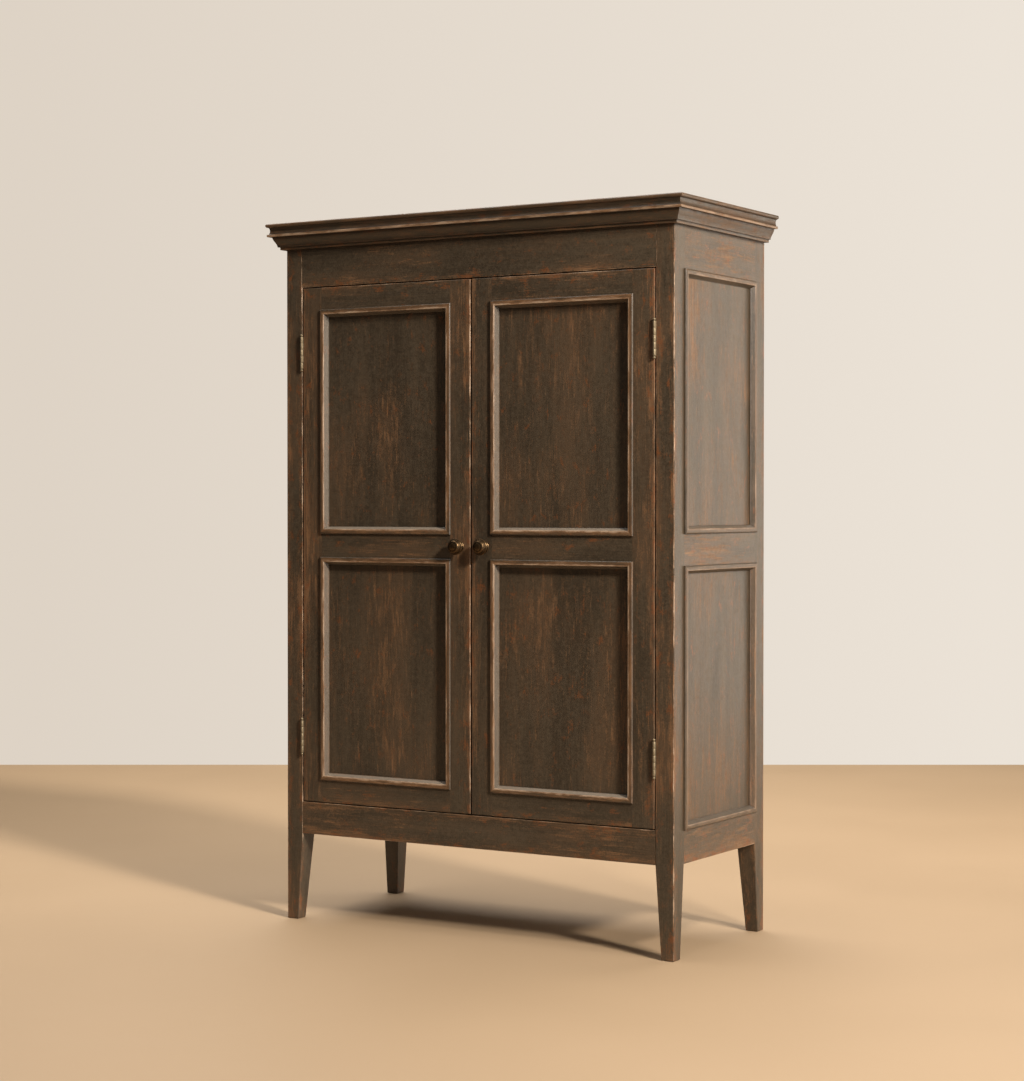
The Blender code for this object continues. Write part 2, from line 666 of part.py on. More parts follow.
def build_door(side, across):
    """One door and its hinges; the door's pieces hang on an empty that stands on the hinge axis."""
    axis = bpy.data.objects.new(f"{side}_door_axis", None)
    axis.location = (across * HINGE_AXIS.x, HINGE_AXIS.y, 0.0)
    bpy.context.scene.collection.objects.link(axis)
    name = side + "_door_"
    placed = {"reflect": (across, 1), "parent": axis}

    stile_edge = DOOR_LEFT + DOOR_STILE
    meeting_edge = DOOR_RIGHT - DOOR_STILE
    pockets = [leaf_pocket(DOOR_LEFT, 1, centre) for centre in HINGE_CENTRES]
    body, cuts = door_stile(DOOR_LEFT, stile_edge, stile_edge, -1, pockets)
    add(name + "hinge_stile", body, "paint", cut=cuts, **placed)

    knob_x = DOOR_RIGHT - KNOB_FROM_MEETING_EDGE
    bore_end = KNOB_SHANK_LENGTH + 0.001
    bore_place = facing_front(knob_x, FRONT + bore_end, KNOB_HEIGHT)
    bore = round_bar(KNOB_SHANK_RADIUS + BORE_CLEARANCE, bore_end + FAR, KNOB_SIDES, bore_place)
    body, cuts = door_stile(meeting_edge, DOOR_RIGHT, meeting_edge, 1, [bore])
    add(name + "meeting_stile", body, "paint", cut=cuts, **placed)

    opening = (DOOR_TOP - DOOR_BOTTOM - 2 * DOOR_RAIL - DOOR_MID_RAIL) / 2
    low = DOOR_BOTTOM + DOOR_RAIL
    mid_low = low + opening
    mid_high = mid_low + DOOR_MID_RAIL
    high = mid_high + opening
    rails = (
        ("bottom_rail", DOOR_BOTTOM, low, [(low, -1)]),
        ("mid_rail", mid_low, mid_high, [(mid_low, 1), (mid_high, -1)]),
        ("top_rail", high, DOOR_TOP, [(high, 1)]),
    )
    for rail, bottom, top, grooves in rails:
        body, tongue, cuts = door_rail(bottom, top, grooves)
        add(name + rail, body, "paint", joined=tongue, cut=cuts, **placed)

    for level, bottom, top in (("lower", low, mid_low), ("upper", mid_high, high)):
        board = panel(stile_edge, meeting_edge, bottom, top, FRONT + PANEL_RECESS)
        add(f"{name}{level}_panel", board, "paint", **placed)
        trim = front_moulding(stile_edge, meeting_edge, bottom, top)
        add(f"{name}{level}_moulding", trim, "paint", smooth=True, **placed)

    knob = turned(knob_profile(), KNOB_SIDES, facing_front(knob_x, FRONT, KNOB_HEIGHT))
    add(name + "knob", knob, "brass", smooth=True, **placed)

    for level, centre in zip(("lower", "upper"), HINGE_CENTRES):
        hinge = f"{side}_{level}_hinge_"
        plate, joined, cuts = hinge_leaf(centre, OPENING_LEFT, -1, 0)
        add(hinge + "case_leaf", plate, "brass", joined=joined, cut=cuts, reflect=(across, 1), smooth=True)
        plate, joined, cuts = hinge_leaf(centre, DOOR_LEFT, 1, 1)
        add(hinge + "door_leaf", plate, "brass", joined=joined, cut=cuts, smooth=True, **placed)
        pin = turned(pin_profile(), PIN_SIDES, standing(HINGE_AXIS.x, HINGE_AXIS.y, centre))
        add(hinge + "pin", pin, "brass", reflect=(across, 1), smooth=True)


def main():
    for old in list(bpy.data.objects):
        bpy.data.objects.remove(old)
    build_posts()
    front_rail("apron_rail", LEG_HEIGHT, OPENING_BOTTOM)
    front_rail("frieze_rail", OPENING_TOP, CASE_TOP)
    build_sides()
    build_crown()
    build_boards()
    build_rod()
    build_catch()
    build_door("left", 1)
    build_door("right", -1)


main()
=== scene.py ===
"""Looks of the two-door armoire: rubbed-through paint, antique brass, a pale floor and soft studio light.

Metres, +Z up, in the CAD's own frame. Flat boards stay the CAD's own nodes and get their finish here.
Mouldings, crown, knobs, hinges and side rails are finer meshes that stand for their CAD nodes; knob
bolts, strike plates and back panel nails have no CAD node and are added here.
"""

import math
import random

import bmesh
import bpy
from mathutils import Matrix, Vector


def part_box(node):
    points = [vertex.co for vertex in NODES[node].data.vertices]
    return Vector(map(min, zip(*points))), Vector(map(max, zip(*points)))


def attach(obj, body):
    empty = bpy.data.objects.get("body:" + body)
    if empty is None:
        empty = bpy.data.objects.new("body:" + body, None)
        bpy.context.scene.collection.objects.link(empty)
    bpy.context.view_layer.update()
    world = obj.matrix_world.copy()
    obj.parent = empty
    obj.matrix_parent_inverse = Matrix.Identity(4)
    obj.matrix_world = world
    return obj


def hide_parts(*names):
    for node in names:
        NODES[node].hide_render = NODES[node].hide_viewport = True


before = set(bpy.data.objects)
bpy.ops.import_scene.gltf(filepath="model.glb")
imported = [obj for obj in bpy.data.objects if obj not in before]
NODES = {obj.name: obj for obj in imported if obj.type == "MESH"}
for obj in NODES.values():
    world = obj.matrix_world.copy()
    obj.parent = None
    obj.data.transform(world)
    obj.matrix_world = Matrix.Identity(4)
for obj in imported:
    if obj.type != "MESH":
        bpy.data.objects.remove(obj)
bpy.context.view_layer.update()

# ------------------------------------------------------------------ view
EYE_AZIMUTH = 31.345         # degrees from straight in front, towards the right
EYE_DISTANCE = 6.0217        # from the middle of the piece, along the floor
EYE_HEIGHT = 1.0885
LOOK_TURN = 31.495
LOOK_TILT = -0.912
LENS = 77.85
SENSOR = 36.0

# ------------------------------------------------------------------ lamps
KEY_PLACE = (2.38, -1.20, 2.40)
LAMP_TARGET = (0.0, -0.2, 1.0)
KEY_LIGHT = (1.0, 0.93, 0.84)
WALL_LIGHT = (1.0, 0.96, 0.92)
AMBIENT_LIGHT = (1.0, 0.93, 0.85, 1.0)   # with its alpha
FLOOR_HALF_SIZE = 3.70

# ------------------------------------------------------------------ sizes of the finer pieces
GAP = 0.0003                 # what the CAD leaves between pieces that touch
MOULDING_WIDTH = 0.0195      # from the lap's edge to the foot on the panel
MOULDING_LAP = 0.0030        # how far the moulding laps over its frame
DOOR_CREST_END = 0.0084      # where the moulding's crest ends, from the edge of the frame
SIDE_CREST_END = 0.0080
HINGE_HEIGHT = 0.083
KNUCKLES = 5
BARREL_RADIUS = 0.0040
PLATE_THICKNESS = 0.0020
PIN_TIP_RADIUS = 0.0036
PIN_NECK_RADIUS = 0.0022
KNOB_TOP = 0.0306            # from the door's face
RAIL_PAINT_DEPTH = 0.0295    # a side rail is stained, not painted, deeper than this
PANEL_LINING = 0.0005        # a side panel is stained this near its inner face

# ------------------------------------------------------------------ colours, linear
PAINT_DARK = (0.030, 0.021, 0.0125)
PAINT_LIGHT = (0.063, 0.046, 0.0285)
THIN_PAINT = (0.074, 0.041, 0.021)
WOOD_DARK = (0.085, 0.042, 0.019)
WOOD_LIGHT = (0.205, 0.102, 0.043)
WORN_TAN = (0.360, 0.260, 0.180)
RUST = (0.135, 0.046, 0.014)
# painted sheen: a pale grey laid on the moulding slopes, for the satin paint's reflection
PAINTED_SHEEN = (0.190, 0.155, 0.120)
# dark specks and pores at random, and painted shade in the hollows of the mouldings and the crown
DUST_AND_SHADE = (0.014, 0.010, 0.006)
INNER_DARK = (0.085, 0.047, 0.024)
INNER_LIGHT = (0.190, 0.115, 0.062)
KNOB_BRASS = (0.120, 0.074, 0.036)
KNOB_DARK = (0.022, 0.014, 0.008)
HINGE_BRASS = (0.250, 0.200, 0.130)
HINGE_DARK = (0.165, 0.125, 0.080)
STEEL = (0.120, 0.110, 0.100)
STEEL_DARK = (0.040, 0.034, 0.030)
FLOOR = (0.360, 0.252, 0.153)
# the wall behind: darker on the left as painted shade, lighter on the right as painted light
WALL_SHADED_LEFT = (0.730, 0.650, 0.560)
WALL_LIT_RIGHT = (0.830, 0.760, 0.675)


# ------------------------------------------------------------------ shader graph
class Graph:
    """A material and short ways to add and link its nodes."""

    def __init__(self, name):
        self.material = bpy.data.materials.new(name)
        self.material.use_nodes = True
        self.tree = self.material.node_tree
        self.shader = self.tree.nodes["Principled BSDF"]

    def node(self, kind, inputs=(), **settings):
        made = self.tree.nodes.new(kind)
        for key, value in settings.items():
            setattr(made, key, value)
        for key, value in dict(inputs).items():
            self.put(made.inputs[key], value)
        return made

    def put(self, socket, value):
        """Give a socket a number, a vector, a colour, or another node's output."""
        if isinstance(value, bpy.types.NodeSocket):
            self.tree.links.new(value, socket)
        elif socket.type == "RGBA":
            socket.default_value = (*value, 1.0)
        else:
            socket.default_value = value

    def math(self, operation, first, second=0.0, clamp=False):
        made = self.node("ShaderNodeMath", {0: first, 1: second}, operation=operation, use_clamp=clamp)
        return made.outputs[0]

    def weighted(self, *terms):
        """The sum of values, each times its weight."""
        total = 0.0
        for value, weight in terms:
            if value == 0.0 or weight == 0.0:
                continue
            total = self.math("ADD", total, self.math("MULTIPLY", value, weight))
        return total

    def vector(self, operation, first, second=(0.0, 0.0, 0.0)):
        made = self.node("ShaderNodeVectorMath", {0: first, 1: second}, operation=operation)
        return made.outputs["Value" if operation == "LENGTH" else "Vector"]

    def noise(self, place, stretch, detail=4.0, roughness=0.6, distortion=0.0):
        """Noise with so many features per metre along each axis."""
        inputs = {"Vector": self.vector("MULTIPLY", place, stretch), "Scale": 1.0, "Detail": detail,
                  "Roughness": roughness, "Distortion": distortion}
        return self.node("ShaderNodeTexNoise", inputs).outputs["Fac"]

    def step(self, value, low, high, start=0.0, end=1.0):
        """A smooth step: start below low, end above high."""
        inputs = {"Value": value, "From Min": low, "From Max": high, "To Min": start, "To Max": end}
        return self.node("ShaderNodeMapRange", inputs, interpolation_type="SMOOTHSTEP").outputs["Result"]

    def mix(self, amount, first, second):
        made = self.node("ShaderNodeMix", data_type="RGBA")
        self.put(made.inputs["Factor"], amount)
        self.put(made.inputs[6], first)
        self.put(made.inputs[7], second)
        return made.outputs[2]

    def attribute(self, name, output="Fac"):
        return self.node("ShaderNodeAttribute", attribute_name=name).outputs[output]

    def finish(self, colour, roughness, height=None, depth=0.0002):
        self.put(self.shader.inputs["Base Color"], colour)
        self.put(self.shader.inputs["Roughness"], roughness)
        if height is not None:
            bump = self.node("ShaderNodeBump", {"Height": height, "Distance": depth, "Strength": 1.0})
            self.put(self.shader.inputs["Normal"], bump.outputs["Normal"])
        return self.material


def own_shift(name):
    """A shift of the grain that is the piece's own, the same each run."""
    draw = random.Random(name)
    return tuple(draw.uniform(-40.0, 40.0) for _ in range(3))


def stretched(grain, across, along):
    """Features per metre: so many across the grain and so many along it."""
    return tuple(along if axis == grain else across for axis in "xyz")


def edge(**places):
    """A board's edge that runs along the one axis left unnamed, such as edge(x=0.5, y=-0.2)."""
    point = tuple(places.get(axis, 0.0) for axis in "xyz")
    held = tuple(1.0 if axis in places else 0.0 for axis in "xyz")
    return point, held


def edge_distance(graph, place, edges):
    """How far each point of the surface is from the nearest of the edges."""
    nearest = None
    for point, held in edges:
        away = graph.vector("MULTIPLY", graph.vector("SUBTRACT", place, point), held)
        distance = graph.vector("LENGTH", away)
        nearest = distance if nearest is None else graph.math("MINIMUM", nearest, distance)
    return nearest


def painted(name, grain="z", edges=(), wear=1.0, rub=0.0, swept=False, foot=False, inner=None):
    """Dark satin paint over brown wood, rubbed through in streaks along the grain and at the edges.

    inner is (axis, place, side) of a plane past which the board is inside the case and only stained.
    """
    graph = Graph(name + "_paint")
    if swept:
        place = graph.attribute("grain", "Vector")
    else:
        place = graph.node("ShaderNodeTexCoord").outputs["Object"]
    here = graph.vector("ADD", place, own_shift(name))

    hair = graph.noise(here, stretched(grain, 760.0, 16.0), 3.0, 0.65)
    streak = graph.noise(here, stretched(grain, 130.0, 7.0), 4.0, 0.7)
    board = graph.noise(here, stretched(grain, 20.0, 2.4), 3.0, 0.6, 0.3)
    blotch = graph.noise(here, stretched(grain, 80.0, 13.0), 6.0, 0.74, 0.35)
    weave = graph.noise(here, (330.0, 330.0, 330.0), 3.0, 0.7)
    region = graph.noise(here, stretched(grain, 7.0, 3.4), 2.0, 0.5)
    mottle = graph.noise(here, (85.0, 85.0, 85.0), 6.0, 0.75)

    tone = graph.weighted((mottle, 0.25), (weave, 0.25), (board, 0.25), (hair, 0.25))
    paint = graph.mix(graph.step(tone, 0.40, 0.60), PAINT_DARK, PAINT_LIGHT)
    paint = graph.mix(graph.step(weave, 0.46, 0.26, 0.0, 0.5), paint, DUST_AND_SHADE)
    figure = graph.weighted((streak, 0.6), (hair, 0.4))
    wood = graph.mix(graph.step(figure, 0.36, 0.66), WOOD_DARK, WOOD_LIGHT)

    near = 0.0
    if edges:
        near = graph.step(edge_distance(graph, place, edges), 0.030, 0.0, 0.0, 0.06)
    if foot:
        above_floor = graph.node("ShaderNodeSeparateXYZ", {"Vector": place}).outputs["Z"]
        near = graph.math("ADD", near, graph.step(above_floor, 0.12, 0.0, 0.0, 0.045))
    thin = graph.weighted((region, 0.45), (board, 0.35), (streak, 0.20), (near, 1.0), (1.0, rub))
    colour = graph.mix(graph.step(thin, 0.44, 0.66, 0.0, 0.55), paint, THIN_PAINT)
    level = graph.weighted(
        (blotch, 0.42), (region, 0.24), (hair, 0.17), (weave, 0.17), (near, 1.0), (1.0, rub)
    )
    rubbed = graph.step(level, 0.528, 0.625, 0.0, 0.72)
    colour = graph.mix(rubbed, colour, wood)
    spots = graph.noise(here, stretched(grain, 42.0, 26.0), 6.0, 0.70, 0.4)
    rust = graph.weighted((spots, 0.62), (weave, 0.14), (hair, 0.24), (near, 0.8), (1.0, 0.5 * rub))
    colour = graph.mix(graph.step(rust, 0.560, 0.640, 0.0, 0.80), colour, RUST)

    breaks = graph.noise(here, stretched(grain, 60.0, 14.0), 5.0, 0.75)
    worn = 0.0
    if edges:
        ragged = graph.weighted((breaks, 0.6), (hair, 0.4))
        spread = graph.step(ragged, 0.40, 0.62, 0.0, 0.0026 * wear)
        inside = graph.math("SUBTRACT", spread, edge_distance(graph, place, edges))
        worn = graph.step(inside, -0.0008, 0.0012)
    if swept:
        crest = graph.math("ADD", graph.attribute("rub"), graph.step(breaks, 0.32, 0.68, -0.25, 0.18))
        colour = graph.mix(graph.step(crest, 0.25, 0.75, 0.0, 0.75 * wear), colour, wood)
        worn = graph.step(crest, 0.62, 1.05, 0.0, wear)
        # painted sheen: where hollow is below zero the colour pales to grey, more on faces that look up
        hollow = graph.attribute("hollow")
        normal = graph.node("ShaderNodeNewGeometry").outputs["Normal"]
        upward = graph.node("ShaderNodeSeparateXYZ", {"Vector": normal}).outputs["Z"]
        upward_sheen = graph.step(upward, 0.2, 0.8, 0.25, 0.85)
        painted_sheen = graph.math("MULTIPLY", graph.step(hollow, 0.0, -1.0), upward_sheen)
        colour = graph.mix(painted_sheen, colour, PAINTED_SHEEN)
        # painted shade: where hollow is above zero the colour darkens, in the creases of the mouldings and
        # the recesses of the crown
        colour = graph.mix(graph.math("MULTIPLY", hollow, 0.85, clamp=True), colour, DUST_AND_SHADE)
    if edges or swept:
        bare = graph.mix(graph.step(blotch, 0.34, 0.56), WOOD_LIGHT, WORN_TAN)
        colour = graph.mix(graph.math("MULTIPLY", worn, 0.9), colour, bare)
    if inner:
        axis, plane, side = inner
        reached = graph.node("ShaderNodeSeparateXYZ", {"Vector": place}).outputs[axis]
        past = graph.math("MULTIPLY", graph.math("SUBTRACT", reached, plane), side)
        stain = graph.mix(graph.step(tone, 0.36, 0.64), INNER_DARK, INNER_LIGHT)
        stain = graph.mix(graph.step(hair, 0.50, 0.32, 0.0, 0.35), stain, DUST_AND_SHADE)
        colour = graph.mix(graph.step(past, -0.0006, 0.0), colour, stain)

    roughness = graph.step(graph.weighted((mottle, 0.8), (rubbed, 0.3)), 0.26, 0.80, 0.34, 0.62)
    height = graph.weighted((hair, 0.6), (mottle, 0.8), (rubbed, -0.4))
    graph.shader.inputs["IOR"].default_value = 1.5
    return graph.finish(colour, roughness, height, 0.00035)


def stained(name, grain="z"):
    """Stained wood inside: straight grain with open pores, low sheen."""
    graph = Graph(name + "_stain")
    place = graph.node("ShaderNodeTexCoord").outputs["Object"]
    here = graph.vector("ADD", place, own_shift(name))
    pores = graph.noise(here, stretched(grain, 900.0, 14.0), 3.0, 0.6)
    figure = graph.noise(here, stretched(grain, 34.0, 1.4), 5.0, 0.65, 0.4)
    tone = graph.math("ADD", graph.math("MULTIPLY", figure, 0.7), graph.math("MULTIPLY", pores, 0.3))
    colour = graph.mix(graph.step(tone, 0.36, 0.66), INNER_DARK, INNER_LIGHT)
    return graph.finish(colour, graph.step(pores, 0.3, 0.7, 0.52, 0.70), pores, 0.0003)


def aged_metal(name, bright, dark, low, high, shine=(0.28, 0.55)):
    """Metal darkened in its hollows and in patches, brighter where hands rub it."""
    graph = Graph(name + "_metal")
    place = graph.node("ShaderNodeTexCoord").outputs["Object"]
    here = graph.vector("ADD", place, own_shift(name))
    patch = graph.noise(here, (170.0, 170.0, 170.0), 5.0, 0.65)
    grit = graph.noise(here, (1400.0, 1400.0, 1400.0), 3.0, 0.6)
    tone = graph.math("SUBTRACT", patch, graph.math("MULTIPLY", graph.attribute("hollow"), 0.45))
    polish = graph.step(tone, low, high)
    colour = graph.mix(polish, dark, bright)
    graph.shader.inputs["Metallic"].default_value = 1.0
    return graph.finish(colour, graph.step(polish, 0.0, 1.0, shine[1], shine[0]), grit, 0.00008)


# ------------------------------------------------------------------ meshes
def new_piece(name, mesh, body, material, stands_for=()):
    """Put a mesh in the scene as a piece that rides on a body and stands for CAD nodes."""
    piece = bpy.data.objects.new(name, mesh)
    bpy.context.scene.collection.objects.link(piece)
    piece.data.materials.append(material)
    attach(piece, body)
    if stands_for:
        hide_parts(*stands_for)
    return piece


def arc(centre, radius, start, end, steps):
    """Points round an arc, both ends included; angles in degrees."""
    angles = [math.radians(start + (end - start) * i / steps) for i in range(steps + 1)]
    return [(centre[0] + radius * math.cos(a), centre[1] + radius * math.sin(a)) for a in angles]


def sweep(name, stations, marks, closed):
    """Skin a section along its stations, with attributes for the grain, the crests and the hollows.

    A station is (ring of points, distance along the grain per point); marks are (rub, hollow) per point
    of the section. The two ends are capped unless the row closes on itself. Every two stations in a
    closed row are one mitred strip, whose grain starts somewhere else.
    """
    mesh = bpy.data.meshes.new(name)
    shape = bmesh.new()
    rub = shape.verts.layers.float.new("rub")
    hollow = shape.verts.layers.float.new("hollow")
    grain = shape.loops.layers.float_vector.new("grain")
    rings = []
    for ring, _ in stations:
        verts = [shape.verts.new(point) for point in ring]
        for vert, mark in zip(verts, marks):
            vert[rub], vert[hollow] = mark
        rings.append(verts)
    count = len(marks)
    across = [0.0]
    first = stations[0][0]
    for near, far in zip(first, first[1:]):
        across.append(across[-1] + (Vector(far) - Vector(near)).length)
    pairs = [(i, i + 1) for i in range(len(rings) - 1)]
    if closed:
        pairs.append((len(rings) - 1, 0))
    else:
        shape.faces.new(rings[0])
        shape.faces.new(rings[-1])
    for side, (a, b) in enumerate(pairs):
        for i in range(count):
            j = (i + 1) % count
            face = shape.faces.new((rings[a][i], rings[a][j], rings[b][j], rings[b][i]))
            face.smooth = True
            places = {rings[a][i]: (a, i), rings[a][j]: (a, j), rings[b][j]: (b, j), rings[b][i]: (b, i)}
            for loop in face.loops:
                station, point = places[loop.vert]
                along = stations[station][1][point]
                strip = side // 2
                loop[grain] = (across[point], strip * 3.7, along + strip * 5.3)
    bmesh.ops.recalc_face_normals(shape, faces=shape.faces)
    shape.to_mesh(mesh)
    shape.free()
    mesh.set_sharp_from_angle(angle=math.radians(32))
    return mesh


def rounded(section, radius):
    """Round a section's sharp corners: each becomes three points with the corner's own mark."""
    result = []
    for i, ((x, y), mark) in enumerate(section):
        here = Vector((x, y))
        before = Vector(section[i - 1][0]) - here
        after = Vector(section[(i + 1) % len(section)][0]) - here
        turn = math.degrees(math.pi - before.angle(after))
        if turn < 35.0:
            result.append(((x, y), mark))
            continue
        start = here + before.normalized() * min(radius, before.length * 0.4)
        end = here + after.normalized() * min(radius, after.length * 0.4)
        middle = (start + end) / 4 + here / 2
        result += [(tuple(start), mark), (tuple(middle), mark), (tuple(end), mark)]
    return result


def moulding_section(proud, recess, crest_end):
    """The panel moulding, lapped over its frame: (inward, outward) points and each one's (rub, hollow).

    A bead along the outside, a rubbed crest that ends at crest_end and a slope down to the panel. Hollow
    above zero is painted shade in the creases at the lap, the foot and the bead; below zero it is painted
    sheen on the slope.
    """
    foot = GAP - recess
    width = MOULDING_WIDTH - MOULDING_LAP
    bead = 0.0040
    corner = 0.0016
    lip_width = 0.0010
    slope_end, lip = foot + 0.0026, foot + 0.0020
    # hollow 1.0 at the foot and the lap's edge, and less on the bead's outer side, is painted shade where the
    # moulding meets panel and frame
    section = [((GAP, foot), (0.0, 1.0)), ((GAP, GAP), (0.0, 1.0)), ((-MOULDING_LAP, GAP), (0.0, 1.0))]
    for i, point in enumerate(arc((bead - MOULDING_LAP, proud - bead), bead, 180, 90, 7)):
        section.append((point, (0.10 + 0.07 * i, max(0.0, 0.40 - 0.2 * i))))
    section.append(((bead, proud), (0.60, 0.0)))
    for point in arc((crest_end, proud - corner), corner, 88, 32, 4):
        section.append((point, (0.95, 0.0)))
    start = Vector(section[-1][0])
    end = Vector((width - lip_width, slope_end))
    # the slope's hollow below zero is a painted sheen, pale grey
    for t in (0.10, 0.30, 0.50, 0.70, 0.90):
        section.append((tuple(start.lerp(end, t)), (0.30 if t < 0.2 else 0.05, -0.9)))
    section.append((tuple(end), (0.25, -0.3)))
    section.append(((width, lip), (0.3, 0.1)))
    section.append(((width, foot), (0.0, 1.0)))
    return section


def mould(node, body, axis, face, panel):
    """Four mitred strips round a panel, in place of the CAD's moulding.

    The strips lie across the axis (0 for a side, 1 for a door), between the frame's face and the panel's.
    """
    low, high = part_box(node)
    sign = 1 if face > panel else -1
    crest = high[axis] if sign > 0 else low[axis]
    on_door = axis == 1
    crest_end = DOOR_CREST_END if on_door else SIDE_CREST_END
    section = moulding_section(abs(crest - face), abs(face - panel), crest_end)
    wide = 1 - axis
    centre = (low + high) / 2
    half = (high - low) / 2
    corners = [(-1, -1), (1, -1), (1, 1), (-1, 1)]
    stations = []
    for number, corner in enumerate(corners):
        following = corners[(number + 1) % 4]
        for step in (0.0, 0.5):
            ring, along = [], []
            for (inward, out), _ in section:
                reach = inward - GAP
                extent = Vector((half[wide] - reach, half.z - reach))
                here, there = Vector(corner) * extent, Vector(following) * extent
                place = here.lerp(there, step)
                point = Vector((0.0, 0.0, centre.z + place.y))
                point[axis] = face + sign * out
                point[wide] = centre[wide] + place.x
                ring.append(point)
                along.append((there - here).length * (step - 0.5))
            stations.append((ring, along))
    # on the sides the painted shade and the painted sheen of the hollow marks are weaker
    marks = [(rub, hollow if on_door else 0.3 * hollow) for _, (rub, hollow) in section]
    mesh = sweep(node + "_strips", stations, marks, closed=True)
    wear = 1.0 if on_door else 0.40
    new_piece(node + "_strips", mesh, body, painted(node, swept=True, wear=wear), [node])


def mouldings():
    """The mouldings of the four door panels and the four side panels."""
    for side in ("left", "right"):
        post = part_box(f"front_{side}_post")
        for level in ("lower", "upper"):
            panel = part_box(f"{side}_door_{level}_panel")
            mould(f"{side}_door_{level}_moulding", f"door_{side}", 1, post[0].y, panel[0].y)
            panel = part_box(f"{side}_side_{level}_panel")
            outer = 0 if side == "left" else 1
            mould(f"{side}_side_{level}_moulding", "case", 0, post[outer].x, panel[outer].x)


def crown_section(overhang, height):
    """The crown: (projection, height) points and each one's (rub, hollow)."""
    base, base_top = 0.012, 0.007
    cyma_start, cyma_reach, cyma_top = 0.017, 0.010, 0.033
    band, band_top = 0.037, 0.039
    cove, cove_depth, cove_bottom, cove_height = 0.0330, 0.0020, 0.0400, 0.0165
    roll = 0.005
    # hollow on the crown is painted shade: it darkens the base, the cyma, the cove and the roll
    section = [((GAP, 0.0), (0.0, 0.6)), ((base, 0.0), (0.55, 0.0)), ((base, base_top), (0.2, 0.6))]
    for i in range(13):
        ease_in = (1 - math.cos(math.pi * i / 12)) / 2
        point = (cyma_start + cyma_reach * ease_in, base_top + (cyma_top - base_top) * i / 12)
        section.append((point, (0.50 if i == 0 else 0.22, 0.8 if i == 12 else 0.50)))
    section += [((band, cyma_top), (0.95, 0.0)), ((band, band_top), (0.80, 0.0))]
    for i in range(9):
        t = i / 8
        point = (cove - cove_depth * math.sin(math.pi * t), cove_bottom + cove_height * t)
        section.append((point, (0.15, 0.9 if i in (0, 8) else 0.65)))
    for i, point in enumerate(arc((overhang - roll, height - roll), roll, -90, 90, 12)):
        section.append((point, (0.30 + 0.25 * math.sin(math.pi * i / 12), 0.32)))
    section.append(((GAP, height), (0.1, 0.1)))
    return rounded(section, 0.0007)


def crowns():
    """The mitred crown: the front run, and one run down each side."""
    low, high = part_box("front_crown")
    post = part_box("front_left_post")[0]
    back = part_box("rear_left_post")[1].y
    overhang = post.x - low.x
    section = crown_section(overhang, high.z - low.z)
    marks = [mark for _, mark in section]

    def station(x, y, step_x, step_y):
        return [Vector((x + step_x * u, y + step_y * u, low.z + v)) for (u, v), _ in section]

    def run(name, start, end, along_axis, wear):
        stations = [(ring, [point[along_axis] for point in ring]) for ring in (start, end)]
        mesh = sweep(name + "_run", stations, marks, closed=False)
        paint = painted(name, swept=True, rub=0.055, wear=wear)
        new_piece(name + "_run", mesh, "case", paint, [name])

    run("front_crown", station(post.x, post.y, -1, -1), station(-post.x, post.y, 1, -1), 0, 0.75)
    for side, out in (("left", -1), ("right", 1)):
        x = abs(post.x) * out
        run(f"{side}_crown", station(x, post.y + GAP, out, -1), station(x, back, out, 0), 1, 0.40)


# ------------------------------------------------------------------ turned and small metal pieces
def turned(name, profile, segments, place):
    """A turned solid of (radius, height) points with (rub, hollow) marks, put in place by a matrix."""
    mesh = bpy.data.meshes.new(name)
    shape = bmesh.new()
    rub = shape.verts.layers.float.new("rub")
    hollow = shape.verts.layers.float.new("hollow")
    rings = []
    for (radius, height), mark in profile:
        spots = 1 if radius == 0.0 else segments
        ring = []
        for i in range(spots):
            turn = math.tau * i / segments
            vert = shape.verts.new(place @ Vector((radius * math.cos(turn), radius * math.sin(turn), height)))
            vert[rub], vert[hollow] = mark
            ring.append(vert)
        rings.append(ring)
    for near, far in zip(rings, rings[1:]):
        for i in range(segments):
            j = (i + 1) % segments
            corners = [near[i % len(near)], near[j % len(near)], far[j % len(far)], far[i % len(far)]]
            shape.faces.new(list(dict.fromkeys(corners))).smooth = True
    bmesh.ops.recalc_face_normals(shape, faces=shape.faces)
    shape.to_mesh(mesh)
    shape.free()
    mesh.set_sharp_from_angle(angle=math.radians(38))
    return mesh


def joined(name, meshes):
    """One mesh of several."""
    whole = bmesh.new()
    for mesh in meshes:
        whole.from_mesh(mesh)
    result = bpy.data.meshes.new(name)
    whole.to_mesh(result)
    whole.free()
    result.set_sharp_from_angle(angle=math.radians(38))
    return result


def facing(point, direction):
    """A place for a turned piece: its base at a point and its axis along a direction."""
    turn = Vector((0.0, 0.0, 1.0)).rotation_difference(Vector(direction)).to_matrix().to_4x4()
    return Matrix.Translation(point) @ turn


